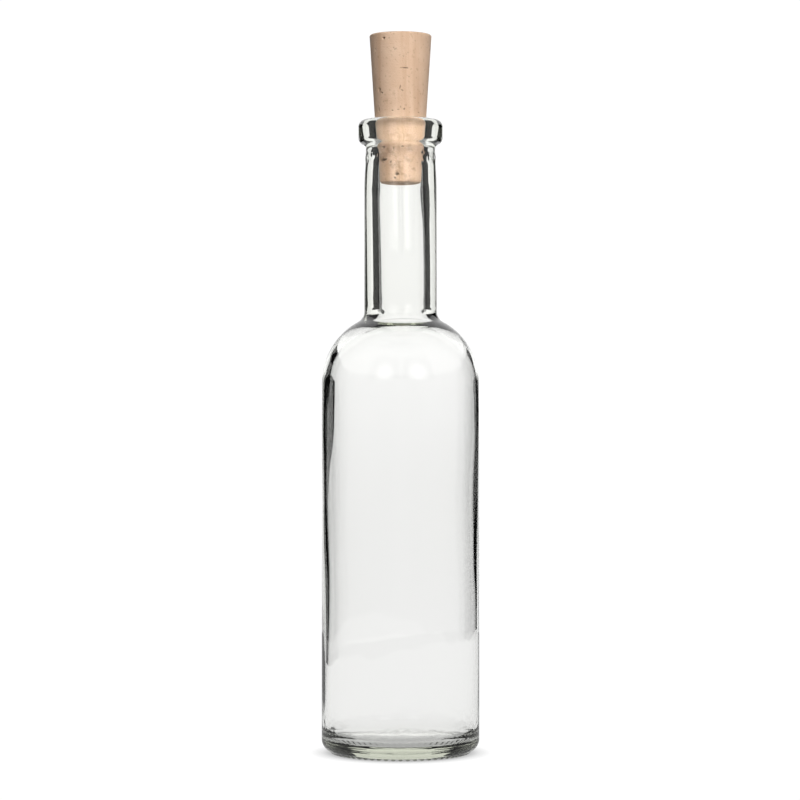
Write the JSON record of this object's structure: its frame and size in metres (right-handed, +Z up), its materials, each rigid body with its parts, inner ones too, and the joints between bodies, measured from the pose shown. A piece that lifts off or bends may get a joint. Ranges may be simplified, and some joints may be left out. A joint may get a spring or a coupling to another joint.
{
  "type": "liquor bottle",
  "caption": "Small round clear glass bottle with a domed shoulder, long neck and thick banded lip, closed by a long tapered natural cork.",
  "frame": {"origin": "on the bottle's axis, in the plane that its foot stands on", "axes": "+Z up along the bottle's axis, from the foot to the cork; the bottle is round, so +X and +Y are alike, and +X points to the right in the reference view"},
  "size_m": [0.05, 0.05, 0.2277],
  "materials": {
    "clear_glass": "fire-polished clear flint glass, faintly green where it is thick",
    "natural_cork": "matt turned natural cork with dark pores"
  },
  "bodies": {
    "bottle": {"glass_bottle": "clear_glass"},
    "cork": {"cork_stopper": "natural_cork"}
  },
  "joints": [
    {"name": "cork_pull", "type": "slide", "parent": "bottle", "child": "cork", "axis": [0, 0, 1], "range_m": [0, 0.03]}
  ]
}
